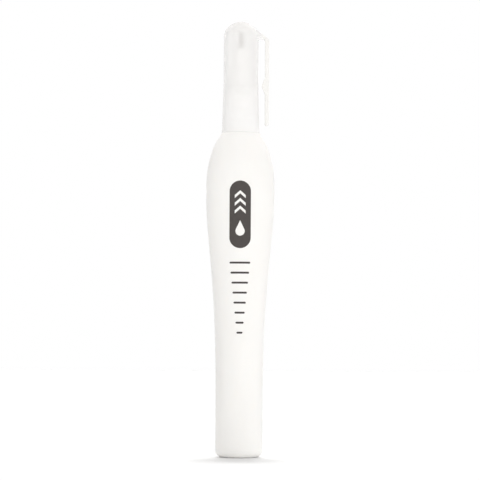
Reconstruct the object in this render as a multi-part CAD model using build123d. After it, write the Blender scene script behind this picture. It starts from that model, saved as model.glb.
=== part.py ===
from build123d import *
import math
import os

# Squeeze-type correction pen, standing on its tail with the cap on.
# The origin is the middle of the base, +Z runs up the pen's axis, -Y is the printed front
# and +X the side of the clip. Lengths are in millimetres.

# Barrel: a bottle with a round tail, an oval grip and a round collar
TAIL_RADIUS = 7.3
GRIP_HALF_WIDTH = 10.65
GRIP_HALF_DEPTH = 8.3
GRIP_LOW_Z = 81.0
GRIP_HIGH_Z = 85.0
FLARE_POWER = 2.15
COLLAR_Z = 101.4
COLLAR_LEDGE = 0.18
BARREL_WALL = 1.2
FLOOR_THICKNESS = 1.6
BASE_EDGE_RADIUS = 2.2
BASE_DIMPLE_RADIUS = 3.6
BASE_DIMPLE_DEPTH = 0.5
BARREL_SECTIONS = 30

# Neck of the barrel, with the raised band that the cap grips
NECK_RADIUS = 4.25
NECK_HEIGHT = 12.3
NECK_WALL = 1.05
BAND_HEIGHT = 0.6
BAND_LENGTH = 2.6
BAND_ABOVE_COLLAR = 1.2

# Sealing ring and nozzle
GASKET_THICKNESS = 0.6
GASKET_INSET = 0.1
FLANGE_INSET = 0.05
FLANGE_THICKNESS = 1.2
SKIRT_LENGTH = 7.0
SKIRT_WALL = 0.9
LOWER_CONE_HEIGHT = 5.8
LOWER_CONE_BASE_RADIUS = 3.6
LOWER_CONE_TOP_RADIUS = 2.75
UPPER_CONE_HEIGHT = 7.2
UPPER_CONE_BASE_RADIUS = 2.1
UPPER_CONE_TOP_RADIUS = 1.5
NOZZLE_EDGE_RADIUS = 0.3
CHAMBER_RADIUS = 1.45
CHAMBER_BELOW_NECK_TOP = 1.3

# Metal tip
TIP_RADIUS = 0.83
TIP_TUBE_LENGTH = 2.8
TIP_CONE_LENGTH = 2.3
TIP_END_RADIUS = 0.42
TIP_BORE_RADIUS = 0.48
TIP_ORIFICE_RADIUS = 0.24
TIP_SEAT_LENGTH = 0.8
TIP_SEAT_ABOVE_TUBE = 0.3
TIP_FLANGE_WIDTH = 0.45
TIP_FLANGE_THICKNESS = 0.6
TIP_HELD_LENGTH = 5.6

# Valve needle, its guide and its spring
NEEDLE_PROTRUSION = 0.35
NEEDLE_STEM_RADIUS = 0.36
NEEDLE_PIN_CLEARANCE = 0.07
NEEDLE_SEAT_GAP = 0.03
NEEDLE_COLLAR_CLEARANCE = 0.25
NEEDLE_COLLAR_THICKNESS = 0.9
NEEDLE_COLLAR_BELOW_TIP = 1.2
NEEDLE_TAIL_RADIUS = 0.45
NEEDLE_GUIDED_LENGTH = 2.0
SEAT_THICKNESS = 3.0
SEAT_GUIDE_CLEARANCE = 0.08
SEAT_SLOT_COUNT = 4
SEAT_SLOT_WIDTH = 0.9
SEAT_SLOT_DEPTH = 0.8
SPRING_WIRE_RADIUS = 0.15
SPRING_COIL_RADIUS = 0.95
SPRING_TURNS = 7
BIARCS_PER_TURN = 4

# Mixing ball
BALL_RADIUS = 2.4

# Cap with its clip
CAP_WALL = 1.0
CAP_BAND_CLEARANCE = 0.12
CAP_NECK_CLEARANCE = 0.24
CAP_TAPER_HEIGHT = 16.6
CAP_RIM_EDGE_RADIUS = 0.3
CAP_HEADROOM = 1.85
DOME_HEIGHT = 4.6
DOME_CORNER_RADIUS = 3.8
DOME_WALL = 1.2
CLIP_GAP = 2.05
CLIP_THICKNESS = 1.3
CLIP_WIDTH = 4.4
CLIP_EDGE_RADIUS = 0.3
CLIP_SHOULDER_BELOW_TOP = 5.75
CLIP_SHOULDER_RADIUS = 1.5
CLIP_ROOT_ANGLE = 37.0
CLIP_ROOT_DEPTH = 2.0
CLIP_ROOT_RADIUS = 0.8
CLIP_SLOT_ABOVE_SHOULDER = 0.45
CLIP_ARCH_RADIUS = 0.95
CLIP_END_ABOVE_RIM = 2.6
CLIP_END_RADIUS = 0.6
CLIP_BUMP_HEIGHT = 1.1
CLIP_BUMP_RADIUS = 1.0
CLIP_BUMP_HALF_LENGTH = 2.5
CLIP_BUMP_ABOVE_END = 12.6

# Room left between pressed-in pieces, and between faces that lie on each other
PRESS_CLEARANCE = 0.03
REST_GAP = 0.02

# Heights and radii that follow from the sizes above
NECK_TOP_Z = COLLAR_Z + NECK_HEIGHT
NECK_BORE_RADIUS = NECK_RADIUS - NECK_WALL
BAND_RADIUS = NECK_RADIUS + BAND_HEIGHT
BAND_LOW_Z = COLLAR_Z + BAND_ABOVE_COLLAR
BAND_HIGH_Z = BAND_LOW_Z + BAND_LENGTH
FLANGE_Z = NECK_TOP_Z + GASKET_THICKNESS
FLANGE_RADIUS = NECK_RADIUS - FLANGE_INSET
LOWER_CONE_Z = FLANGE_Z + FLANGE_THICKNESS
UPPER_CONE_Z = LOWER_CONE_Z + LOWER_CONE_HEIGHT
NOZZLE_FRONT_Z = UPPER_CONE_Z + UPPER_CONE_HEIGHT
SKIRT_END_Z = NECK_TOP_Z - SKIRT_LENGTH
SKIRT_RADIUS = NECK_BORE_RADIUS - PRESS_CLEARANCE
SKIRT_BORE_RADIUS = SKIRT_RADIUS - SKIRT_WALL
CHAMBER_LOW_Z = NECK_TOP_Z - CHAMBER_BELOW_NECK_TOP
CHAMBER_HIGH_Z = NOZZLE_FRONT_Z - TIP_HELD_LENGTH
TIP_REAR_Z = CHAMBER_HIGH_Z - TIP_FLANGE_THICKNESS
TIP_CONE_Z = NOZZLE_FRONT_Z + TIP_TUBE_LENGTH
TIP_END_Z = TIP_CONE_Z + TIP_CONE_LENGTH
TIP_SEAT_Z = TIP_CONE_Z + TIP_SEAT_ABOVE_TUBE
TIP_ORIFICE_Z = TIP_SEAT_Z + TIP_SEAT_LENGTH
NEEDLE_END_Z = TIP_END_Z + NEEDLE_PROTRUSION
NEEDLE_COLLAR_HIGH_Z = TIP_REAR_Z - NEEDLE_COLLAR_BELOW_TIP
NEEDLE_COLLAR_LOW_Z = NEEDLE_COLLAR_HIGH_Z - NEEDLE_COLLAR_THICKNESS
NEEDLE_TAIL_Z = CHAMBER_LOW_Z - NEEDLE_GUIDED_LENGTH
RIM_BORE_RADIUS = BAND_RADIUS + CAP_BAND_CLEARANCE
RIM_RADIUS = RIM_BORE_RADIUS + CAP_WALL
CAP_BORE_RADIUS = NECK_RADIUS + CAP_NECK_CLEARANCE
CAP_RADIUS = CAP_BORE_RADIUS + CAP_WALL
COLLAR_RADIUS = RIM_RADIUS + COLLAR_LEDGE
CAP_TAPER_Z = COLLAR_Z + CAP_TAPER_HEIGHT
CAP_TOP_Z = NEEDLE_END_Z + CAP_HEADROOM + DOME_WALL
DOME_Z = CAP_TOP_Z - DOME_HEIGHT


def turned(*outline):
    """A solid turned about the pen's axis from (radius, height) points."""
    return revolve(Plane.XZ * make_face(Polyline(*outline, close=True)), Axis.Z)


def turned_with_dome(radius, height, corner_radius, *outline):
    """A solid turned from (radius, height) points and a two-arc dome, with its seam away from the clip."""
    inset = radius - corner_radius
    crown_radius = (inset**2 + height**2 - corner_radius**2) / (2 * (height - corner_radius))
    share = crown_radius / (crown_radius - corner_radius)
    meeting_point = (inset * share, DOME_Z + (crown_radius - height) * (share - 1))
    corner = TangentArc((radius, DOME_Z), meeting_point, tangent=(0, 1))
    crown = TangentArc(corner @ 1, (0, DOME_Z + height), tangent=corner % 1)
    side = Polyline(*outline, corner @ 0)
    face = make_face([side, corner, crown, Line(crown @ 1, side @ 0)])
    return Rot(0, 0, 180) * revolve(Plane.XZ * face, Axis.Z)


def rod(radius, low_z, high_z):
    """A plain round bar on the pen's axis."""
    return turned((0, low_z), (radius, low_z), (radius, high_z), (0, high_z))


def lowest_edges(solid):
    """The edges round a solid's lowest face."""
    return solid.faces().sort_by(Axis.Z)[0].edges()


def rim(solid, radius, z):
    """The round edge of a solid that lies nearest to a radius and a height."""
    circles = solid.edges().filter_by(GeomType.CIRCLE)
    return circles.sort_by(lambda edge: abs(edge.radius - radius) + abs(edge.center().Z - z))[0]


def barrel_half_size(z, grip):
    """Half the barrel's outer size at a height: a smooth flare from tail to grip, then an oval shoulder."""
    if z <= GRIP_LOW_Z:
        share = (z / GRIP_LOW_Z) ** FLARE_POWER
        return TAIL_RADIUS + (grip - TAIL_RADIUS) * share**2 * (3 - 2 * share)
    if z <= GRIP_HIGH_Z:
        return grip
    reach = (COLLAR_Z - GRIP_HIGH_Z) / math.sqrt(1 - (COLLAR_RADIUS / grip) ** 2)
    return grip * math.sqrt(1 - ((z - GRIP_HIGH_Z) / reach) ** 2)


def barrel_form(inset, low_z, high_z):
    """The barrel's form between two heights, drawn in by an inset all round."""
    step = (high_z - low_z) / (BARREL_SECTIONS - 1)
    sections = []
    for i in range(BARREL_SECTIONS):
        z = low_z + step * i
        half_width = barrel_half_size(z, GRIP_HALF_WIDTH) - inset
        half_depth = barrel_half_size(z, GRIP_HALF_DEPTH) - inset
        sections.append(Pos(0, 0, z) * Ellipse(half_width, half_depth))
    return loft(sections)


def make_barrel():
    """Squeeze bottle: closed tail with a dimpled base, oval grip, collar, neck and cap band."""
    bottle = barrel_form(0, 0, COLLAR_Z)
    bottle = fillet(lowest_edges(bottle), BASE_EDGE_RADIUS)
    bottle += rod(NECK_RADIUS, COLLAR_Z - BARREL_WALL, NECK_TOP_Z)
    bottle += turned(
        (0, BAND_LOW_Z),
        (NECK_RADIUS, BAND_LOW_Z),
        (BAND_RADIUS, BAND_LOW_Z + BAND_HEIGHT),
        (BAND_RADIUS, BAND_HIGH_Z - BAND_HEIGHT),
        (NECK_RADIUS, BAND_HIGH_Z),
        (0, BAND_HIGH_Z),
    )
    hollow = barrel_form(BARREL_WALL, FLOOR_THICKNESS, COLLAR_Z - BARREL_WALL)
    bottle -= fillet(lowest_edges(hollow), BASE_EDGE_RADIUS)
    bottle -= rod(NECK_BORE_RADIUS, COLLAR_Z - 2 * BARREL_WALL, NECK_TOP_Z)
    return bottle - turned((0, 0), (BASE_DIMPLE_RADIUS, 0), (0, BASE_DIMPLE_DEPTH))


def make_gasket():
    """Flat sealing ring on the rim of the neck."""
    outer_radius = NECK_RADIUS - GASKET_INSET
    return rod(outer_radius, NECK_TOP_Z, FLANGE_Z) - rod(NECK_BORE_RADIUS, NECK_TOP_Z, FLANGE_Z)


def make_nozzle():
    """Tip holder: skirt in the neck, flange on the sealing ring and a stepped cone that carries the tip."""
    body = turned(
        (0, SKIRT_END_Z),
        (SKIRT_RADIUS, SKIRT_END_Z),
        (SKIRT_RADIUS, FLANGE_Z),
        (FLANGE_RADIUS, FLANGE_Z),
        (FLANGE_RADIUS, LOWER_CONE_Z),
        (LOWER_CONE_BASE_RADIUS, LOWER_CONE_Z),
        (LOWER_CONE_TOP_RADIUS, UPPER_CONE_Z),
        (UPPER_CONE_BASE_RADIUS, UPPER_CONE_Z),
        (UPPER_CONE_TOP_RADIUS, NOZZLE_FRONT_Z),
        (0, NOZZLE_FRONT_Z),
    )
    outer_rims = [
        rim(body, FLANGE_RADIUS, LOWER_CONE_Z),
        rim(body, LOWER_CONE_TOP_RADIUS, UPPER_CONE_Z),
        rim(body, UPPER_CONE_TOP_RADIUS, NOZZLE_FRONT_Z),
    ]
    body = fillet(outer_rims, NOZZLE_EDGE_RADIUS)
    body -= rod(SKIRT_BORE_RADIUS, SKIRT_END_Z, CHAMBER_LOW_Z)
    body -= rod(CHAMBER_RADIUS, CHAMBER_LOW_Z, CHAMBER_HIGH_Z)
    return body - rod(TIP_RADIUS + PRESS_CLEARANCE, CHAMBER_HIGH_Z, NOZZLE_FRONT_Z)


def make_metal_tip():
    """Flanged steel tube with a tapered end and a conical valve seat inside."""
    flange_radius = TIP_RADIUS + TIP_FLANGE_WIDTH
    return turned(
        (TIP_BORE_RADIUS, TIP_REAR_Z),
        (flange_radius, TIP_REAR_Z),
        (flange_radius, CHAMBER_HIGH_Z),
        (TIP_RADIUS, CHAMBER_HIGH_Z),
        (TIP_RADIUS, TIP_CONE_Z),
        (TIP_END_RADIUS, TIP_END_Z),
        (TIP_ORIFICE_RADIUS, TIP_END_Z),
        (TIP_ORIFICE_RADIUS, TIP_ORIFICE_Z),
        (TIP_BORE_RADIUS, TIP_SEAT_Z),
    )


def make_valve_needle():
    """Rod that closes the tip: guided tail, spring collar, stem, valve cone and pin through the orifice."""
    collar_radius = CHAMBER_RADIUS - NEEDLE_COLLAR_CLEARANCE
    pin_radius = TIP_ORIFICE_RADIUS - NEEDLE_PIN_CLEARANCE
    seat_slope = (TIP_BORE_RADIUS - TIP_ORIFICE_RADIUS) / TIP_SEAT_LENGTH
    cone_z = TIP_SEAT_Z + (TIP_BORE_RADIUS - NEEDLE_SEAT_GAP - NEEDLE_STEM_RADIUS) / seat_slope
    pin_z = TIP_ORIFICE_Z - (pin_radius + NEEDLE_SEAT_GAP - TIP_ORIFICE_RADIUS) / seat_slope
    return turned(
        (0, NEEDLE_TAIL_Z),
        (NEEDLE_TAIL_RADIUS, NEEDLE_TAIL_Z),
        (NEEDLE_TAIL_RADIUS, NEEDLE_COLLAR_LOW_Z),
        (collar_radius, NEEDLE_COLLAR_LOW_Z),
        (collar_radius, NEEDLE_COLLAR_HIGH_Z),
        (NEEDLE_STEM_RADIUS, NEEDLE_COLLAR_HIGH_Z),
        (NEEDLE_STEM_RADIUS, cone_z),
        (pin_radius, pin_z),
        (pin_radius, NEEDLE_END_Z),
        (0, NEEDLE_END_Z),
    )


def make_spring_seat():
    """Bush pressed into the nozzle's skirt, with flow slots round its edge and the needle's guide hole."""
    low_z = CHAMBER_LOW_Z - SEAT_THICKNESS
    outer_radius = SKIRT_BORE_RADIUS - PRESS_CLEARANCE
    bush = rod(outer_radius, low_z, CHAMBER_LOW_Z)
    bush -= rod(NEEDLE_TAIL_RADIUS + SEAT_GUIDE_CLEARANCE, low_z, CHAMBER_LOW_Z)
    slot = Box(2 * SEAT_SLOT_DEPTH, SEAT_SLOT_WIDTH, SEAT_THICKNESS)
    slot = Pos(outer_radius, 0, low_z + SEAT_THICKNESS / 2) * slot
    for i in range(SEAT_SLOT_COUNT):
        bush -= Rot(0, 0, i * 360 / SEAT_SLOT_COUNT) * slot
    return bush


def spring_point(turn, low_z, pitch):
    """A point on the spring's centre line after a number of turns."""
    angle = 2 * math.pi * turn
    x = SPRING_COIL_RADIUS * math.cos(angle)
    y = SPRING_COIL_RADIUS * math.sin(angle)
    return Vector(x, y, low_z + pitch * turn)


def spring_direction(turn, pitch):
    """The direction of the spring's wire after a number of turns."""
    angle = 2 * math.pi * turn
    run = 2 * math.pi * SPRING_COIL_RADIUS
    return Vector(-run * math.sin(angle), run * math.cos(angle), pitch).normalized()


def biarc(start, start_direction, end, end_direction):
    """Two arcs that leave start and reach end in the given directions and meet smoothly between them."""
    chord = end - start
    square = 2 * (1 - start_direction.dot(end_direction))
    linear = 2 * chord.dot(start_direction + end_direction)
    reach = (math.sqrt(linear**2 + 4 * square * chord.dot(chord)) - linear) / (2 * square)
    middle = (start + start_direction * reach + end - end_direction * reach) / 2
    first = TangentArc(start, middle, tangent=start_direction)
    return [first, TangentArc(middle, end, tangent=first % 1)]


def spring_gap(low_z, pitch):
    """The least space between the spring's turns, measured on points of its centre line."""
    steps = 48
    points = [spring_point(i / steps, low_z, pitch) for i in range(SPRING_TURNS * steps + 1)]
    apart = [(b - a).length for i, a in enumerate(points) for b in points[i + steps // 2 :]]
    return min(apart) - 2 * SPRING_WIRE_RADIUS


def make_needle_spring():
    """Open coil between the spring seat and the needle's collar, one wire swept along arcs."""
    wire_lift = SPRING_WIRE_RADIUS + REST_GAP
    low_z = CHAMBER_LOW_Z + wire_lift
    pitch = (NEEDLE_COLLAR_LOW_Z - wire_lift - low_z) / SPRING_TURNS
    turns = [i / BIARCS_PER_TURN for i in range(SPRING_TURNS * BIARCS_PER_TURN + 1)]
    points = [spring_point(turn, low_z, pitch) for turn in turns]
    directions = [spring_direction(turn, pitch) for turn in turns]
    arcs = []
    for i in range(len(turns) - 1):
        arcs += biarc(points[i], directions[i], points[i + 1], directions[i + 1])
    section = Plane(points[0], z_dir=directions[0]) * Circle(SPRING_WIRE_RADIUS)
    coil = sweep(section, path=Wire(arcs))
    expected = math.pi * SPRING_WIRE_RADIUS**2 * sum(arc.length for arc in arcs)
    print(f"needle_spring: least gap {spring_gap(low_z, pitch):.2f} mm between turns")
    print(f"needle_spring: volume {coil.volume:.3f} mm3, section times length {expected:.3f} mm3")
    return coil


def make_mixing_ball():
    """Loose steel ball, lying on the barrel's floor."""
    return Pos(0, 0, FLOOR_THICKNESS + REST_GAP + BALL_RADIUS) * Sphere(BALL_RADIUS)


def clip_outline():
    """The clip seen from the front: arm off the dome, straight leg with a bump inside, and a round end."""
    inner_x = CAP_RADIUS + CLIP_GAP
    outer_x = inner_x + CLIP_THICKNESS
    shoulder_z = CAP_TOP_Z - CLIP_SHOULDER_BELOW_TOP
    root_x = CAP_RADIUS - CLIP_ROOT_DEPTH
    root_z = shoulder_z + (outer_x - root_x) * math.tan(math.radians(CLIP_ROOT_ANGLE))
    slot_z = shoulder_z + CLIP_SLOT_ABOVE_SHOULDER
    end_z = COLLAR_Z + CLIP_END_ABOVE_RIM
    bump_z = end_z + CLIP_BUMP_ABOVE_END
    corners = [
        (root_x, root_z, 0),
        (outer_x, shoulder_z, CLIP_SHOULDER_RADIUS),
        (outer_x, end_z, CLIP_END_RADIUS),
        (inner_x, end_z, CLIP_END_RADIUS),
        (inner_x, bump_z - CLIP_BUMP_HALF_LENGTH, CLIP_BUMP_RADIUS),
        (inner_x - CLIP_BUMP_HEIGHT, bump_z, CLIP_BUMP_RADIUS),
        (inner_x, bump_z + CLIP_BUMP_HALF_LENGTH, CLIP_BUMP_RADIUS),
        (inner_x, slot_z, CLIP_ARCH_RADIUS),
        (root_x, slot_z, 0),
    ]
    points = [(x, z) for x, z, _ in corners]
    return FilletPolyline(*points, radius=[radius for _, _, radius in corners], close=True)


def make_clip():
    """The clip with its long edges rounded."""
    clip = extrude(Plane.XZ * make_face(clip_outline()), CLIP_WIDTH / 2, both=True)
    sides = clip.faces().sort_by(Axis.Y)
    return fillet(sides[0].edges() + sides[-1].edges(), CLIP_EDGE_RADIUS)


def make_cap():
    """Push-on cap: tapered rim over the neck band, straight body, oval dome and the clip in one piece."""
    shell = turned_with_dome(
        CAP_RADIUS,
        DOME_HEIGHT,
        DOME_CORNER_RADIUS,
        (0, COLLAR_Z),
        (RIM_RADIUS, COLLAR_Z),
        (CAP_RADIUS, CAP_TAPER_Z),
    )
    shell = fillet(lowest_edges(shell), CAP_RIM_EDGE_RADIUS)
    clip = make_clip()
    cap = shell + clip
    cap = fillet(new_edges(shell, clip, combined=cap), CLIP_ROOT_RADIUS)
    return cap - turned_with_dome(
        CAP_BORE_RADIUS,
        DOME_HEIGHT - DOME_WALL,
        DOME_CORNER_RADIUS - CAP_WALL,
        (0, COLLAR_Z),
        (RIM_BORE_RADIUS, COLLAR_Z),
        (RIM_BORE_RADIUS, BAND_HIGH_Z),
        (CAP_BORE_RADIUS, CAP_TAPER_Z),
    )


PIECES = {
    "squeeze_barrel": make_barrel,
    "nozzle_gasket": make_gasket,
    "nozzle": make_nozzle,
    "metal_tip": make_metal_tip,
    "valve_needle": make_valve_needle,
    "needle_spring": make_needle_spring,
    "spring_seat": make_spring_seat,
    "mixing_ball": make_mixing_ball,
    "cap": make_cap,
}

os.makedirs("parts", exist_ok=True)
for name, make in PIECES.items():
    export_step(make(), f"parts/{name}.step")
print(f"overall height {CAP_TOP_Z:.2f} mm, grip {2 * GRIP_HALF_WIDTH:.2f} by {2 * GRIP_HALF_DEPTH:.2f} mm")
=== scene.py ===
# %% [markdown]
# A squeeze-type correction pen, dressed for the camera
#
# The pen is a soft white bottle with a sprung needle valve in a steel tip, closed by a milky cap.
# Its exact shapes come from CAD and are loaded as a fixed frame. This lesson gives every piece its
# real surface, adds the thin things that moulding and printing leave on a pen, and lights it as a
# product is lit in a studio. Everything is in metres, in the frame of the CAD model: +Z runs up the
# pen, -Y is the printed front and +X the side of the clip. A size in millimetres becomes one in
# metres when it is multiplied by MM.

# %% Load the pen
import math

import bmesh
import bpy
from mathutils import Matrix, Vector
from mathutils.bvhtree import BVHTree
from mathutils.geometry import delaunay_2d_cdt


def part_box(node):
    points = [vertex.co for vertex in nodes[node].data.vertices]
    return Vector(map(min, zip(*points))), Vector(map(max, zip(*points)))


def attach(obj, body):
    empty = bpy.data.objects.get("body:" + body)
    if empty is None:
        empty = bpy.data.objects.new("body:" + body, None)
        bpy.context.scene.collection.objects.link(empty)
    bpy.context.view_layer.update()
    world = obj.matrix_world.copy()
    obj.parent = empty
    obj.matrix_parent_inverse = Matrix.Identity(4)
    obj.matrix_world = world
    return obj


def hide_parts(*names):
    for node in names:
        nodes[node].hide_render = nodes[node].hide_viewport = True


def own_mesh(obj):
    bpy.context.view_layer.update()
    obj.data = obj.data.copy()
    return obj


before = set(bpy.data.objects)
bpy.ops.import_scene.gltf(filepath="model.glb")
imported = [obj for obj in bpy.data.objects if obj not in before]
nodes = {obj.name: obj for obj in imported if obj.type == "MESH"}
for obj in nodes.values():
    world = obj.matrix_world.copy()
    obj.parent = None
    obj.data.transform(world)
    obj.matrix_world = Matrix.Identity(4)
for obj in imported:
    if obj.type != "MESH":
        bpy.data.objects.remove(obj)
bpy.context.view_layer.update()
MM = 0.001
print("pieces from CAD:", sorted(nodes))

# %% [markdown]
# Small tools for materials
#
# Colours are written as sRGB hex, the way a colour picker shows them, but shaders work with linear
# light, so one function bends them back. A second function adds a node, sets its properties and
# fills or links its inputs, which keeps each material below short enough to read as a recipe. Two
# more start a recipe with an empty material and put a finished one on a piece.


# %% Colours
def linear(hex_colour):
    """An sRGB hex colour as linear red, green, blue and alpha."""
    shares = [int(hex_colour[i : i + 2], 16) / 255 for i in (0, 2, 4)]
    return (*[c / 12.92 if c <= 0.04045 else ((c + 0.055) / 1.055) ** 2.4 for c in shares], 1)


print("the middle grey 808080 sends back", round(linear("808080")[0], 3), "of the light")


# %% Nodes
def add(tree, kind, inputs=None, **settings):
    """One shader node with its settings, its inputs filled by values or linked to sockets."""
    node = tree.nodes.new("ShaderNode" + kind)
    for name, value in settings.items():
        setattr(node, name, value)
    for name, value in (inputs or {}).items():
        if isinstance(value, bpy.types.NodeSocket):
            tree.links.new(value, node.inputs[name])
        else:
            node.inputs[name].default_value = value
    return node


# %% The start and the use of a recipe
def start_material(name):
    """An empty material, its node tree and the coordinates of its object in metres."""
    material = bpy.data.materials.new(name)
    material.use_nodes = True
    tree = material.node_tree
    tree.nodes.clear()
    return material, tree, add(tree, "TexCoord").outputs["Object"]


def dress(name, material):
    """Gives a CAD piece a material in place of its plain one."""
    nodes[name].data.materials.clear()
    nodes[name].data.materials.append(material)
    print(name, "is dressed in", material.name)


# %% [markdown]
# The barrel: blow-moulded low-density polyethylene
#
# The bottle is blown from a soft tube of white polyethylene inside a cold mould. That leaves a
# satin skin with a very fine pebble from the sandblasted mould, faint lengthwise lines from the die
# that the tube came out of, and a wall that is a little thicker in some places, which shows as the
# slightest change of white. A plain diffuse white would look like chalk, so a principled surface
# with low subsurface scatter gives the soft, waxy fall of light. The patterns are noise, and a noise
# texture takes cells per metre, so its scale is worked out from a real size. The mould's real pebble
# is about 0.05 mm, too fine for this picture, so it is drawn at 0.9 mm and kept shallow.


# %% Pattern sizes
def cells(size_mm):
    """The noise scale that gives cells of a real size."""
    return 1 / (size_mm * MM)


print("cells of 1 mm need a noise scale of", round(cells(1)))

# %% Blow-moulded polyethylene, with its patterns in millimetres
WALL_PATCH = 14
PEBBLE = 0.9
DIE_LINE_WIDTH = 0.7
DIE_LINE_LENGTH = 45


def blow_moulded_polyethylene():
    """Satin white, waxy, with a fine pebble and faint lengthwise lines."""
    material, tree, place = start_material("blow_moulded_polyethylene")
    patches = add(tree, "TexNoise", {"Vector": place, "Scale": cells(WALL_PATCH), "Detail": 2})
    white = add(tree, "ValToRGB", {"Fac": patches.outputs[0]})
    white.color_ramp.elements[0].color = linear("F4F2EF")
    white.color_ramp.elements[1].color = linear("F8F7F4")
    pebble = add(tree, "TexNoise", {"Vector": place, "Scale": cells(PEBBLE), "Detail": 3})
    satin = add(tree, "MapRange", {"Value": pebble.outputs[0], "To Min": 0.36, "To Max": 0.5})
    stretch = (cells(DIE_LINE_WIDTH), cells(DIE_LINE_WIDTH), cells(DIE_LINE_LENGTH))
    along = add(tree, "Mapping", {"Vector": place, "Scale": stretch})
    die_lines = add(tree, "TexNoise", {"Vector": along.outputs[0], "Scale": 1, "Detail": 1})
    relief = add(tree, "Math", {0: pebble.outputs[0], 1: die_lines.outputs[0]}, operation="ADD")
    skin = add(tree, "Bump", {"Strength": 0.35, "Distance": 0.02 * MM, "Height": relief.outputs[0]})
    surface = add(tree, "BsdfPrincipled", {
        "Base Color": white.outputs["Color"],
        "Roughness": satin.outputs[0],
        "Normal": skin.outputs[0],
        "IOR": 1.51,
        "Subsurface Weight": 0.12,
        "Subsurface Radius": (1.0, 0.9, 0.8),
        "Subsurface Scale": 0.6 * MM,
    })
    add(tree, "OutputMaterial", {"Surface": surface.outputs["BSDF"]})
    return material


polyethylene = blow_moulded_polyethylene()
dress("squeeze_barrel", polyethylene)

# %% [markdown]
# The cap: injection-moulded natural polypropylene
#
# Polypropylene without colour is milky: its crystals scatter light, so the nozzle and the steel tip
# show through it as soft shapes. Glass would be too clear and a white shell too dense, so the
# surface mixes rough transmission with a white body. The more slanted the view, the more of the
# wall it crosses, so the wall is clearest where it faces the eye and plain white at its edges. The
# skirt has a dull skin inside, where it grips the neck, and looks denser. The clip, 4.4 mm deep
# from front to back, lets less light through than the wall's 1 mm. The clip and the crown are
# painted greyer, a painted shade that holds down the light falling on them. The polished mould
# leaves a gloss outside, and slow clouds of density, about 8 mm long, follow the flow of the melt.
# Light gets through the milky wall, so the cap keeps none from what it covers.

# %% Where the cap's plastic is dense, and where it gets painted shade
CLEAR_FACING = 0.66
SKIRT_CLEAR_SHARE = 0.4
SKIRT_LOW = 106 * MM
SKIRT_HIGH = 116 * MM
CLIP_CLEAR_SHARE = 0.3
CLIP_ROOT = 6.0 * MM
CLIP_ARM = 6.8 * MM
# Painted shade: the clip's milk is mixed towards this grey.
CLIP_PAINTED_SHADE = linear("F2F1EE")
CROWN_LOW = 133.5 * MM
CROWN_HIGH = 136.5 * MM
# Painted shade: the top of the crown is mixed towards this grey.
CROWN_PAINTED_SHADE = linear("EDEBE8")
skirt_clear = round(CLEAR_FACING * SKIRT_CLEAR_SHARE, 2)
print("share of light through the wall:", CLEAR_FACING, "and through the skirt:", skirt_clear)

# %% Moulded milky polypropylene, with its patterns in millimetres
MELT_CLOUD = 8
POLISH_MARK = 1.2


def moulded_milky_polypropylene():
    """Translucent, glossy, with slow clouds in its density and painted shade on clip and crown."""
    material, tree, place = start_material("moulded_milky_polypropylene")
    clouds = add(tree, "TexNoise", {"Vector": place, "Scale": cells(MELT_CLOUD), "Detail": 2})
    milk = add(tree, "ValToRGB", {"Fac": clouds.outputs[0]})
    milk.color_ramp.elements[0].color = linear("F3F2F1")
    milk.color_ramp.elements[1].color = linear("F7F6F5")
    marks = add(tree, "TexNoise", {"Vector": place, "Scale": cells(POLISH_MARK), "Detail": 2})
    gloss = add(tree, "MapRange", {"Value": marks.outputs[0], "To Min": 0.12, "To Max": 0.2})
    skin = add(tree, "Bump", {"Strength": 0.2, "Distance": 0.01 * MM, "Height": marks.outputs[0]})
    where = add(tree, "SeparateXYZ", {"Vector": place}).outputs
    skirt = {"Value": where["Z"], "From Min": SKIRT_LOW, "From Max": SKIRT_HIGH}
    clip = {"Value": where["X"], "From Min": CLIP_ROOT, "From Max": CLIP_ARM}
    crown = {"Value": where["Z"], "From Min": CROWN_LOW, "From Max": CROWN_HIGH}
    slant = add(tree, "LayerWeight", {"Blend": 0.5}).outputs["Facing"]
    clear = add(tree, "MapRange", {"Value": slant, "To Min": CLEAR_FACING, "To Max": 0}).outputs[0]
    for zone, first, last in ((skirt, SKIRT_CLEAR_SHARE, 1), (clip, 1, CLIP_CLEAR_SHARE)):
        share = add(tree, "MapRange", {**zone, "To Min": first, "To Max": last}).outputs[0]
        clear = add(tree, "Math", {0: clear, 1: share}, operation="MULTIPLY").outputs[0]
    body = milk.outputs["Color"]
    # Painted shade: the clip and the crown are mixed towards grey, to hold down the light on them.
    for zone, painted_shade in ((clip, CLIP_PAINTED_SHADE), (crown, CROWN_PAINTED_SHADE)):
        share = add(tree, "MapRange", zone).outputs[0]
        body = add(tree, "MixRGB", {"Fac": share, "Color1": body, "Color2": painted_shade}).outputs["Color"]
    surface = add(tree, "BsdfPrincipled", {
        "Base Color": body,
        "Roughness": gloss.outputs[0],
        "Normal": skin.outputs[0],
        "IOR": 1.49,
        "Transmission Weight": clear,
    })
    add(tree, "OutputMaterial", {"Surface": surface.outputs["BSDF"]})
    return material


dress("cap", moulded_milky_polypropylene())
nodes["cap"].visible_shadow = False
nodes["cap"].visible_diffuse = False

# %% [markdown]
# Plastics inside: white polypropylene, acetal and a soft elastomer
#
# The nozzle is the same plastic as the cap with white pigment, so it is dense and has a soft gloss.
# The spring seat is natural acetal, a harder and slightly waxy plastic. The sealing ring is a
# thermoplastic elastomer with a dry, matt skin. They differ in white, in gloss and in the size of
# their surface marks, so one recipe takes those as values.


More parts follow.
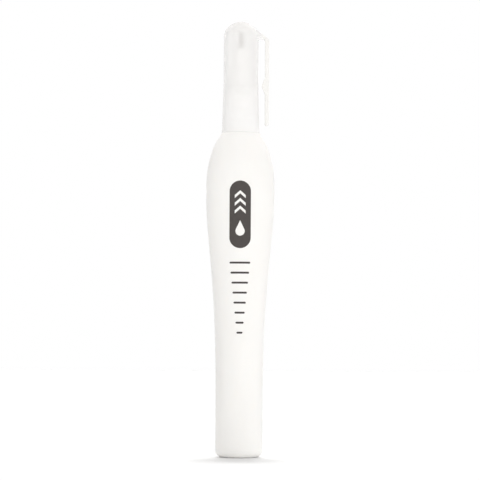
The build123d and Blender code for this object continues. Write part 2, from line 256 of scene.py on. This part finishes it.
# %% Moulded plastics of the valve
def moulded_plastic(name, tones, mark_mm, gloss_range, depth_mm, ior):
    """An opaque moulded plastic with small differences of tone, gloss and height."""
    material, tree, place = start_material(name)
    noise = add(tree, "TexNoise", {"Vector": place, "Scale": cells(mark_mm), "Detail": 3})
    marks = noise.outputs[0]
    tone = add(tree, "ValToRGB", {"Fac": marks})
    tone.color_ramp.elements[0].color = linear(tones[0])
    tone.color_ramp.elements[1].color = linear(tones[1])
    low, high = gloss_range
    gloss = add(tree, "MapRange", {"Value": marks, "To Min": low, "To Max": high})
    skin = add(tree, "Bump", {"Strength": 0.3, "Distance": depth_mm * MM, "Height": marks})
    surface = add(tree, "BsdfPrincipled", {
        "Base Color": tone.outputs["Color"],
        "Roughness": gloss.outputs[0],
        "Normal": skin.outputs[0],
        "IOR": ior,
    })
    add(tree, "OutputMaterial", {"Surface": surface.outputs["BSDF"]})
    return material


# %% Nozzle: dense white with a soft gloss
dress("nozzle", moulded_plastic(
    "moulded_white_polypropylene", tones=("F4F3F1", "F8F7F5"),
    mark_mm=1.5, gloss_range=(0.26, 0.36), depth_mm=0.01, ior=1.49,
))

# %% Spring seat: waxy and slightly yellow
dress("spring_seat", moulded_plastic(
    "moulded_acetal", tones=("E9E8E2", "F0EFEA"),
    mark_mm=0.8, gloss_range=(0.3, 0.42), depth_mm=0.01, ior=1.48,
))

# %% Sealing ring: dry and matt
dress("nozzle_gasket", moulded_plastic(
    "moulded_elastomer", tones=("ECEBE8", "F2F1EF"),
    mark_mm=0.6, gloss_range=(0.55, 0.7), depth_mm=0.02, ior=1.5,
))

# %% [markdown]
# Metals: turned tip, ground needle, polished ball and drawn spring wire
#
# All four are stainless steel, and only the way they were made tells them apart. A lathe leaves
# fine rings round the tip and a grinder finer ones on the needle. The lapped ball is almost a
# mirror, and the wire comes drawn from a die, with an uneven shine. Anisotropic gloss could stand
# for the rings, but bands of a wave texture along the axis also give them tone and height. A wave
# repeats every tau / 20 of its scaled input, so its scale too is worked out from a real size. The
# rings' real pitch, 0.02 to 0.05 mm, is too fine to show, so they are drawn several times coarser,
# and on the ball and the wire wide and faint.


# %% Stainless steel
def bands(pitch_mm):
    """The wave scale that gives bands of a real pitch."""
    return math.tau / (20 * pitch_mm * MM)


def stainless_steel(name, tones, pitch_mm, gloss_range, depth_mm):
    """Bare steel with machining rings round the pen's axis, broken up a little by noise."""
    material, tree, place = start_material(name)
    wave = {"Vector": place, "Scale": bands(pitch_mm), "Distortion": 1.5, "Detail": 2}
    rings = add(tree, "TexWave", wave, wave_type="BANDS", bands_direction="Z").outputs["Fac"]
    tone = add(tree, "ValToRGB", {"Fac": rings})
    tone.color_ramp.elements[0].color = linear(tones[0])
    tone.color_ramp.elements[1].color = linear(tones[1])
    low, high = gloss_range
    gloss = add(tree, "MapRange", {"Value": rings, "To Min": low, "To Max": high})
    cut = add(tree, "Bump", {"Strength": 0.4, "Distance": depth_mm * MM, "Height": rings})
    surface = add(tree, "BsdfPrincipled", {
        "Base Color": tone.outputs["Color"],
        "Roughness": gloss.outputs[0],
        "Normal": cut.outputs[0],
        "Metallic": 1,
    })
    add(tree, "OutputMaterial", {"Surface": surface.outputs["BSDF"]})
    return material


print("rings 1 mm apart need a wave scale of", round(bands(1)))

# %% Tip: rings of a lathe, with a satin shine
dress("metal_tip", stainless_steel(
    "turned_stainless_steel", tones=("C8C5C1", "DEDBD7"),
    pitch_mm=0.35, gloss_range=(0.24, 0.36), depth_mm=0.01,
))

# %% Needle: finer rings of a grinder, and a brighter shine
dress("valve_needle", stainless_steel(
    "ground_stainless_steel", tones=("B2B0AD", "C6C4C1"),
    pitch_mm=0.2, gloss_range=(0.18, 0.28), depth_mm=0.005,
))

# %% Ball: almost a mirror
dress("mixing_ball", stainless_steel(
    "polished_stainless_steel", tones=("BDBCBB", "CCCBCA"),
    pitch_mm=1.8, gloss_range=(0.06, 0.14), depth_mm=0.002,
))

# %% Spring wire: darker, with an uneven shine
spring_wire_steel = stainless_steel(
    "drawn_stainless_steel", tones=("A8A7A6", "C0BFBE"),
    pitch_mm=0.5, gloss_range=(0.22, 0.34), depth_mm=0.004,
)
print("material", spring_wire_steel.name)

# %% [markdown]
# The needle's spring
#
# CAD has the spring as an even coil. A real compression spring is wound from drawn wire with its
# first and last turn laid close, so that it stands square on the seat and under the needle's
# collar. A curve with a round bevel could draw that, but rings of points along the line give a
# closed mesh with flat ends, whose every point is known. The wire stays in the room that the CAD
# coil holds.

# %% The line of the wire
WIRE_RADIUS = 0.15 * MM
SPRING_TURNS = 7
CLOSED_PITCH = 0.34 * MM


def spring_height(turn, length):
    """Height of the wire above its start: one closed turn at each end and open turns between."""
    open_pitch = (length - 2 * CLOSED_PITCH) / (SPRING_TURNS - 2)
    closed = min(turn, 1) + max(turn - SPRING_TURNS + 1, 0)
    opened = min(max(turn - 1, 0), SPRING_TURNS - 2)
    return CLOSED_PITCH * closed + open_pitch * opened


print("gap between closed turns:", round((CLOSED_PITCH - 2 * WIRE_RADIUS) / MM, 2), "mm")

# %% Wind the wire
STEPS_PER_TURN = 32
WIRE_SIDES = 12


def close_tube(work, rows):
    """Joins rows of points, one behind the other, into a closed tube or strip with ends."""
    for first, second in zip(rows, rows[1:]):
        for i in range(len(first)):
            j = (i + 1) % len(first)
            work.faces.new((first[i], first[j], second[j], second[i]))
    work.faces.new(rows[0])
    work.faces.new(rows[-1])


def wind_spring():
    """A round wire from the spring seat to the needle's collar, closed at both ends."""
    low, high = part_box("needle_spring")
    coil_radius = (high.x - low.x) / 2 - WIRE_RADIUS
    length = high.z - low.z - 2 * WIRE_RADIUS
    wire = bmesh.new()
    rings = []
    for step in range(SPRING_TURNS * STEPS_PER_TURN + 1):
        turn = step / STEPS_PER_TURN
        outward = Vector((math.cos(math.tau * turn), math.sin(math.tau * turn), 0))
        centre = outward * coil_radius
        centre.z = low.z + WIRE_RADIUS + spring_height(turn, length)
        ring = []
        for side in range(WIRE_SIDES):
            angle = math.tau * side / WIRE_SIDES
            offset = outward * math.cos(angle) + Vector((0, 0, math.sin(angle)))
            ring.append(wire.verts.new(centre + offset * WIRE_RADIUS))
        rings.append(ring)
    close_tube(wire, rings)
    return wire


wound_wire = wind_spring()
print("the wire has", len(wound_wire.verts), "points")


# %% Put a piece on its body
def new_piece(name, mesh_work, material, body):
    """A piece from a worked mesh: faces turned outwards, smooth, in its material, on its body."""
    bmesh.ops.recalc_face_normals(mesh_work, faces=mesh_work.faces)
    mesh = bpy.data.meshes.new(name)
    mesh_work.to_mesh(mesh)
    mesh_work.free()
    for polygon in mesh.polygons:
        polygon.use_smooth = True
    mesh.materials.append(material)
    piece = bpy.data.objects.new(name, mesh)
    bpy.context.scene.collection.objects.link(piece)
    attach(piece, body)
    print(name, "with", len(mesh.polygons), "faces rides on", body)
    return piece


spring = new_piece("wound_spring", wound_wire, spring_wire_steel, "barrel")
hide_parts("needle_spring")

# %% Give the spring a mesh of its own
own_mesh(spring)

# %% [markdown]
# A way to reach the barrel's skin
#
# The print, the parting line and the base's weld all lie on the barrel's outer skin, which is oval
# and swells towards the grip. A shrinkwrap modifier could press a piece onto it, but a ray shot at
# the CAD mesh finds the skin's direction as well as its place. So each thin piece is drawn flat and
# then laid onto the barrel, point by point, as thick as it should be.

# %% Rays onto the barrel
barrel_mesh = nodes["squeeze_barrel"].data
skin_tree = BVHTree.FromPolygons(
    [vertex.co.copy() for vertex in barrel_mesh.vertices],
    [tuple(polygon.vertices) for polygon in barrel_mesh.polygons],
)
FAR = 1.0
TO_THE_BACK = (0, 1, 0)
UPWARDS = (0, 0, 1)
GRIP_HEIGHT = 83 * MM


def on_skin(point, towards):
    """The place and outward direction of the barrel's skin that a ray through a point meets."""
    place, normal, _, _ = skin_tree.ray_cast(Vector(point) - Vector(towards) * FAR, Vector(towards))
    if normal.dot(Vector(towards)) > 0:
        normal = -normal
    return place, normal


grip_front, _ = on_skin((0, 0, GRIP_HEIGHT), TO_THE_BACK)
print("grip's front at y =", round(grip_front.y / MM, 2), "mm")

# %% [markdown]
# The print on the grip
#
# The bottle's front carries a pad print in one dark, warm grey ink: a rounded panel where finger
# and thumb press, with three arrowheads towards the tip and a drop of fluid left bare in it, over a
# ladder of rules that get shorter. An image texture would blur up close, so each mark is a film of
# ink with real edges. The ink is about 0.015 mm thick in reality and is drawn at 0.04 mm, so that it
# clears the facets of the barrel.

# %% Flat outlines in millimetres, across the front (x) and up the pen (z)
EDGE_STEP = 0.3
LEAST_ARC_STEPS = 8


def arc(centre, radius, start, end):
    """Points on an arc between two angles in degrees."""
    count = max(LEAST_ARC_STEPS, math.ceil(math.radians(abs(end - start)) * radius / EDGE_STEP))
    angles = [math.radians(start + (end - start) * i / count) for i in range(count + 1)]
    return [(centre[0] + radius * math.cos(a), centre[1] + radius * math.sin(a)) for a in angles]


def closed_outline(corners):
    """A closed outline whose long sides are cut into short steps, to follow the barrel."""
    outline = []
    for (x0, z0), (x1, z1) in zip(corners, corners[1:] + corners[:1]):
        count = max(1, math.ceil(math.hypot(x1 - x0, z1 - z0) / EDGE_STEP))
        outline += [(x0 + (x1 - x0) * i / count, z0 + (z1 - z0) * i / count) for i in range(count)]
    return outline


def bar(z, length, width, upright):
    """A bar with round ends on the front's middle line, across the pen or upright."""
    reach = (length - width) / 2
    if upright:
        ends = arc((0, z + reach), width / 2, 0, 180) + arc((0, z - reach), width / 2, 180, 360)
    else:
        ends = arc((reach, z), width / 2, -90, 90) + arc((-reach, z), width / 2, 90, 270)
    return closed_outline(ends)


print("a round dot 1 mm wide has", len(bar(0, 1, 1, upright=True)), "points")

# %% The panel in millimetres, with arrowheads and a drop that are left bare
PANEL_Z = 75.5
PANEL_LENGTH = 21
PANEL_WIDTH = 6.6
ARROW_COUNT = 3
ARROW_ABOVE = 1.2
ARROW_PITCH = 2.4
ARROW_HALF_WIDTH = 1.7
ARROW_RISE = 1.5
ARROW_STROKE = 1.0
DROP_BELOW = 5.2
DROP_RADIUS = 1.45
DROP_HEIGHT = 3.4


def arrowhead(z):
    """An open arrowhead that points up the pen."""
    return closed_outline([
        (-ARROW_HALF_WIDTH, z),
        (-ARROW_HALF_WIDTH, z - ARROW_STROKE),
        (0, z + ARROW_RISE - ARROW_STROKE),
        (ARROW_HALF_WIDTH, z - ARROW_STROKE),
        (ARROW_HALF_WIDTH, z),
        (0, z + ARROW_RISE),
    ])


def drop(z):
    """A drop: a circle with a straight-sided point above it."""
    lean = math.degrees(math.acos(DROP_RADIUS / DROP_HEIGHT))
    return closed_outline([(0, z + DROP_HEIGHT)] + arc((0, z), DROP_RADIUS, 90 + lean, 450 - lean))


panel = [bar(PANEL_Z, PANEL_LENGTH, PANEL_WIDTH, upright=True)]
for row in range(ARROW_COUNT):
    panel.append(arrowhead(PANEL_Z + ARROW_ABOVE + ARROW_PITCH * row))
panel.append(drop(PANEL_Z - DROP_BELOW))
print("panel drawn with", len(panel), "outlines")

# %% The ladder of rules in millimetres
RULE_COUNT = 8
RULE_TOP = 60.5
RULE_PITCH = 3.1
RULE_WIDTH = 0.6
RULE_LONGEST = 6.4
RULE_SHORTER = 0.65
rules = []
for row in range(RULE_COUNT):
    length = RULE_LONGEST - RULE_SHORTER * row
    rules.append(bar(RULE_TOP - RULE_PITCH * row, length, RULE_WIDTH, upright=False))
print("ladder drawn with", len(rules), "rules")

# %% Pad-printing ink, with its mottle in millimetres
INK_MOTTLE = 1.0


def pad_printing_ink():
    """Warm dark grey, a little glossier than the skin under it, with the mottle of a pad print."""
    material, tree, place = start_material("pad_printing_ink")
    mottle = add(tree, "TexNoise", {"Vector": place, "Scale": cells(INK_MOTTLE), "Detail": 4})
    tone = add(tree, "ValToRGB", {"Fac": mottle.outputs[0]})
    tone.color_ramp.elements[0].color = linear("3A3533")
    tone.color_ramp.elements[1].color = linear("48423F")
    gloss = add(tree, "MapRange", {"Value": mottle.outputs[0], "To Min": 0.34, "To Max": 0.5})
    skin = add(tree, "Bump", {"Strength": 0.2, "Distance": 0.01 * MM, "Height": mottle.outputs[0]})
    surface = add(tree, "BsdfPrincipled", {
        "Base Color": tone.outputs["Color"],
        "Roughness": gloss.outputs[0],
        "Normal": skin.outputs[0],
        "IOR": 1.5,
    })
    add(tree, "OutputMaterial", {"Surface": surface.outputs["BSDF"]})
    return material


ink = pad_printing_ink()
print("material", ink.name)

# %% Points in the ink, on a grid in millimetres
INNER_STEP = 0.6


def inside(point, outlines):
    """True for a point in the ink: inside an odd number of outlines."""
    x, z = point
    crossings = 0
    for outline in outlines:
        for (x0, z0), (x1, z1) in zip(outline, outline[1:] + outline[:1]):
            if (z0 > z) != (z1 > z) and x < x0 + (z - z0) * (x1 - x0) / (z1 - z0):
                crossings += 1
    return crossings % 2 == 1


def inner_points(outlines):
    """A grid of points in the ink, off its edges, that lets a film follow the barrel's curve."""
    edge = [point for outline in outlines for point in outline]
    xs, zs = zip(*edge)
    found = []
    for i in range(1, int((max(xs) - min(xs)) / INNER_STEP) + 1):
        for j in range(1, int((max(zs) - min(zs)) / INNER_STEP) + 1):
            point = (min(xs) + i * INNER_STEP, min(zs) + j * INNER_STEP)
            clear = all(math.dist(point, other) > EDGE_STEP for other in edge)
            if clear and inside(point, outlines):
                found.append(point)
    return found


print("the drop is", "inked" if inside((0, PANEL_Z - DROP_BELOW), panel) else "left bare")

# %% Lay the ink on the barrel
INK_HEIGHT = 0.04 * MM
INK_SINK = 0.03 * MM
WHOLE_HULL = 0
SAME_POINT = 1e-6


def ink_film(outlines):
    """A closed film over the area of the outlines, laid on the barrel's front."""
    points = []
    edges = []
    for outline in outlines:
        start = len(points)
        points += outline
        edges += [(start + i, start + (i + 1) % len(outline)) for i in range(len(outline))]
    points += inner_points(outlines)
    # The triangles fill the whole hull of the outlines, and those outside the ink are left out below.
    vectors = [Vector(point) for point in points]
    flat, _, triangles, _, _, _ = delaunay_2d_cdt(vectors, edges, [], WHOLE_HULL, SAME_POINT)
    film = bmesh.new()
    top = []
    under = []
    for x, z in flat:
        place, normal = on_skin((x * MM, 0, z * MM), TO_THE_BACK)
        top.append(film.verts.new(place + normal * INK_HEIGHT))
        under.append(film.verts.new(place - normal * INK_SINK))
    for triangle in triangles:
        middle = sum((flat[i] for i in triangle), Vector((0, 0))) / 3
        if inside(middle, outlines):
            film.faces.new([top[i] for i in triangle])
            film.faces.new([under[i] for i in reversed(triangle)])
    below = dict(zip(top, under))
    for edge in [edge for edge in film.edges if edge.is_boundary and edge.verts[0] in below]:
        first, second = edge.verts
        film.faces.new((first, second, below[second], below[first]))
        edge.smooth = False
    bmesh.ops.delete(film, geom=[v for v in film.verts if not v.link_faces], context="VERTS")
    return film


new_piece("printed_panel", ink_film(panel), ink, "barrel")
new_piece("printed_rules", ink_film(rules), ink, "barrel")

# %% [markdown]
# The parting line and the weld in the base
#
# The two halves of the blow mould meet along the pen's sides, and a hair of plastic is pressed into
# the joint. It runs from the base to the collar as a ridge that a fingernail can feel. At the tail
# the mould pinches the tube shut, which leaves a short weld across the dimple. A bump in the
# material would give neither of them an edge, so both are thin strips that follow the skin, closed
# on their underside, in the barrel's own material.

# %% Ridges along the barrel, with a profile in shares of width and height
RIDGE_WIDTH = 0.3 * MM
RIDGE_HEIGHT = 0.04 * MM
RIDGE_SINK = 0.05 * MM
RIDGE_STEP = 1.0 * MM
RIDGE_LOW = 2.4 * MM
RIDGE_BELOW_CAP = 0.3 * MM
RIDGE_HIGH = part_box("cap")[0].z - RIDGE_BELOW_CAP
RIDGE_PROFILE = ((-0.5, 0), (-0.2, 0.8), (0, 1), (0.2, 0.8), (0.5, 0))
RIDGE_FADE = 0.2


def parting_ridge(side):
    """The ridge on one side of the barrel, with a round crest that fades out at both ends."""
    strip = bmesh.new()
    rows = []
    count = round((RIDGE_HIGH - RIDGE_LOW) / RIDGE_STEP)
    for step in range(count + 1):
        z = RIDGE_LOW + (RIDGE_HIGH - RIDGE_LOW) * step / count
        fade = math.sin(math.pi * step / count) ** RIDGE_FADE if 0 < step < count else 0
        row = []
        for share, lift in RIDGE_PROFILE:
            place, normal = on_skin((0, share * RIDGE_WIDTH, z), (-side, 0, 0))
            row.append(strip.verts.new(place + normal * RIDGE_HEIGHT * lift * fade))
        for share in (0.5, -0.5):
            place, normal = on_skin((0, share * RIDGE_WIDTH, z), (-side, 0, 0))
            row.append(strip.verts.new(place - normal * RIDGE_SINK))
        rows.append(row)
    close_tube(strip, rows)
    return strip


for side, name in ((1, "parting_ridge_clip_side"), (-1, "parting_ridge_far_side")):
    new_piece(name, parting_ridge(side), polyethylene, "barrel")

# %% The weld across the base
WELD_HALF_LENGTH = 3.1 * MM
WELD_WIDTH = 0.55 * MM
WELD_SHARE = 0.55
WELD_STEPS = 24
WELD_ROUND_STEPS = 6
WELD_END_SHARE = 0.2


def base_weld():
    """A low bead across the dimple, along the mould's joint, that thins out towards its ends."""
    bead = bmesh.new()
    rows = []
    for step in range(WELD_STEPS + 1):
        along = 2 * step / WELD_STEPS - 1
        swell = math.sqrt(max(1 - along**4, 0))
        width = WELD_WIDTH * max(swell, WELD_END_SHARE)
        x = WELD_HALF_LENGTH * along
        row = []
        for i in range(WELD_ROUND_STEPS + 1):
            angle = math.pi * i / WELD_ROUND_STEPS
            y = width / 2 * math.cos(angle)
            place, _ = on_skin((x, y, 0), UPWARDS)
            row.append(bead.verts.new((x, y, place.z * (1 - WELD_SHARE * math.sin(angle) * swell))))
        for share in (-0.5, 0.5):
            y = width * share
            place, _ = on_skin((x, y, 0), UPWARDS)
            row.append(bead.verts.new((x, y, place.z + RIDGE_SINK)))
        rows.append(row)
    close_tube(bead, rows)
    return bead


new_piece("base_weld", base_weld(), polyethylene, "barrel")

# %% [markdown]
# The studio: white floor, white surround and soft light
#
# The pen stands on a white sheet in front of nothing but white. The world lights it evenly and
# softly from all sides, and what the camera sees of it, directly, in a reflection or through the
# cap, is plain white. A wide soft light near the camera and a faint one at the clip's side give the
# barrel its roundness and leave its left edge in light shade. A high one behind the pen lays its
# short shadow on the floor in front of the base. A small one close to the cap's left side lifts the
# cap's shade, and fades down the grip. Bright panels would do as much, but they would show as sharp
# shapes in the cap, so the lamps show in no reflection, as behind a large diffuser. The floor is
# white paper, lit until it just joins the background, so that it keeps the shadow.

# %% World
AMBIENT = 0.55
AMBIENT_COLOUR = linear("FFFEFD")
WHITE = (1, 1, 1, 1)

world = bpy.data.worlds.new("white_surround")
bpy.context.scene.world = world
world.use_nodes = True
sky = world.node_tree
sky.nodes.clear()
# 1 for what is seen, straight, in a reflection or through plastic, and 0 for light on surfaces
path = add(sky, "LightPath").outputs
seen = path["Is Camera Ray"]
for ray in ("Is Glossy Ray", "Is Transmission Ray"):
    seen = add(sky, "Math", {0: seen, 1: path[ray]}, operation="MAXIMUM").outputs[0]
strength = add(sky, "MapRange", {"Value": seen, "To Min": AMBIENT, "To Max": 1})
colour = add(sky, "MixRGB", {"Fac": seen, "Color1": AMBIENT_COLOUR, "Color2": WHITE})
surround = add(sky, "Background", {"Color": colour.outputs[0], "Strength": strength.outputs[0]})
add(sky, "OutputWorld", {"Surface": surround.outputs[0]})
print("world level", AMBIENT)

# %% Floor, with its pattern in millimetres
FLOOR_HALF = 2.0
FIBRE_CLOUD = 6


def matt_white_paper():
    """Matt white paper with faint clouds of fibre."""
    material, tree, place = start_material("matt_white_paper")
    fibre = add(tree, "TexNoise", {"Vector": place, "Scale": cells(FIBRE_CLOUD), "Detail": 2})
    tone = add(tree, "ValToRGB", {"Fac": fibre.outputs[0]})
    tone.color_ramp.elements[0].color = linear("FCFCFC")
    tone.color_ramp.elements[1].color = linear("FEFEFE")
    paper = add(tree, "BsdfDiffuse", {"Color": tone.outputs["Color"]})
    add(tree, "OutputMaterial", {"Surface": paper.outputs[0]})
    return material


sheet = bmesh.new()
bmesh.ops.create_grid(sheet, x_segments=1, y_segments=1, size=FLOOR_HALF)
floor_mesh = bpy.data.meshes.new("floor")
sheet.to_mesh(floor_mesh)
sheet.free()
floor_mesh.materials.append(matt_white_paper())
floor = bpy.data.objects.new("floor", floor_mesh)
bpy.context.scene.collection.objects.link(floor)
print("floor", 2 * FLOOR_HALF, "m wide at z = 0")


# %% Hang up a lamp
def place_light(lamp, away, level):
    """A lamp that shines along -away and shows in no picture, reflection or view through the cap."""
    light = bpy.data.objects.new(lamp.name, lamp)
    light.rotation_euler = (-away).to_track_quat("-Z", "Y").to_euler()
    light.visible_camera = False
    light.visible_glossy = False
    light.visible_transmission = False
    bpy.context.scene.collection.objects.link(light)
    print(lamp.name, "gives white paper a brightness of", level, "where it falls square")
    return light


# %% Far soft lights
def distant_light(name, azimuth, elevation, spread, level):
    """A far soft light: azimuth from the camera towards the clip, height and glow in degrees."""
    lamp = bpy.data.lights.new(name, "SUN")
    lamp.angle = math.radians(spread)
    lamp.energy = level * math.pi
    upright = math.sin(math.radians(elevation))
    across = math.cos(math.radians(elevation))
    turn = math.radians(azimuth)
    place_light(lamp, Vector((across * math.sin(turn), -across * math.cos(turn), upright)), level)


distant_light("key_light", azimuth=16, elevation=8, spread=60, level=0.415)
distant_light("side_light", azimuth=100, elevation=10, spread=60, level=0.09)
distant_light("back_light", azimuth=178, elevation=77, spread=13, level=0.41)

# %% A small light near the cap
LEFT_PLACE = Vector((-0.05, -0.02, 0.135))
LEFT_AIM = Vector((0, 0, 0.12))
LEFT_WIDTH = 0.05


def near_light(name, place, aim, width, level):
    """A round soft light close to the pen, with its brightness stated where it is aimed."""
    lamp = bpy.data.lights.new(name, "AREA")
    lamp.shape = "DISK"
    lamp.size = width
    away = place - aim
    lamp.energy = level * math.pi**2 * away.length_squared
    place_light(lamp, away, level).location = place


near_light("left_light", LEFT_PLACE, LEFT_AIM, LEFT_WIDTH, level=0.1)

# %% [markdown]
# The camera
#
# The picture was taken with a long lens from just above table height: the base shows as a straight
# edge, and the cap's rim curves up towards the front. The camera stands 0.6 m away and looks up a
# little. The pen leans by less than half a degree in the picture, so the camera is rolled by that.

# %% Camera
CAMERA_DISTANCE = 0.6
CAMERA_HEIGHT = 0.035
AIM = Vector((0, 0, 0.06795))
LEAN = math.radians(0.35)
PICTURE_HEIGHT = 0.15087

camera_data = bpy.data.cameras.new("camera")
camera = bpy.data.objects.new("camera", camera_data)
bpy.context.scene.collection.objects.link(camera)
camera.location = (AIM.x, -CAMERA_DISTANCE, CAMERA_HEIGHT)
sight = AIM - camera.location
turn = sight.to_track_quat("-Z", "Y").to_matrix() @ Matrix.Rotation(LEAN, 3, "Z")
camera.rotation_euler = turn.to_euler()
camera_data.sensor_width = 36
camera_data.lens = camera_data.sensor_width * sight.length / PICTURE_HEIGHT
camera_data.clip_start = 0.01
camera_data.clip_end = 20
bpy.context.scene.camera = camera
bpy.context.scene.view_settings.view_transform = "Standard"
print("lens", round(camera_data.lens, 1), "mm")
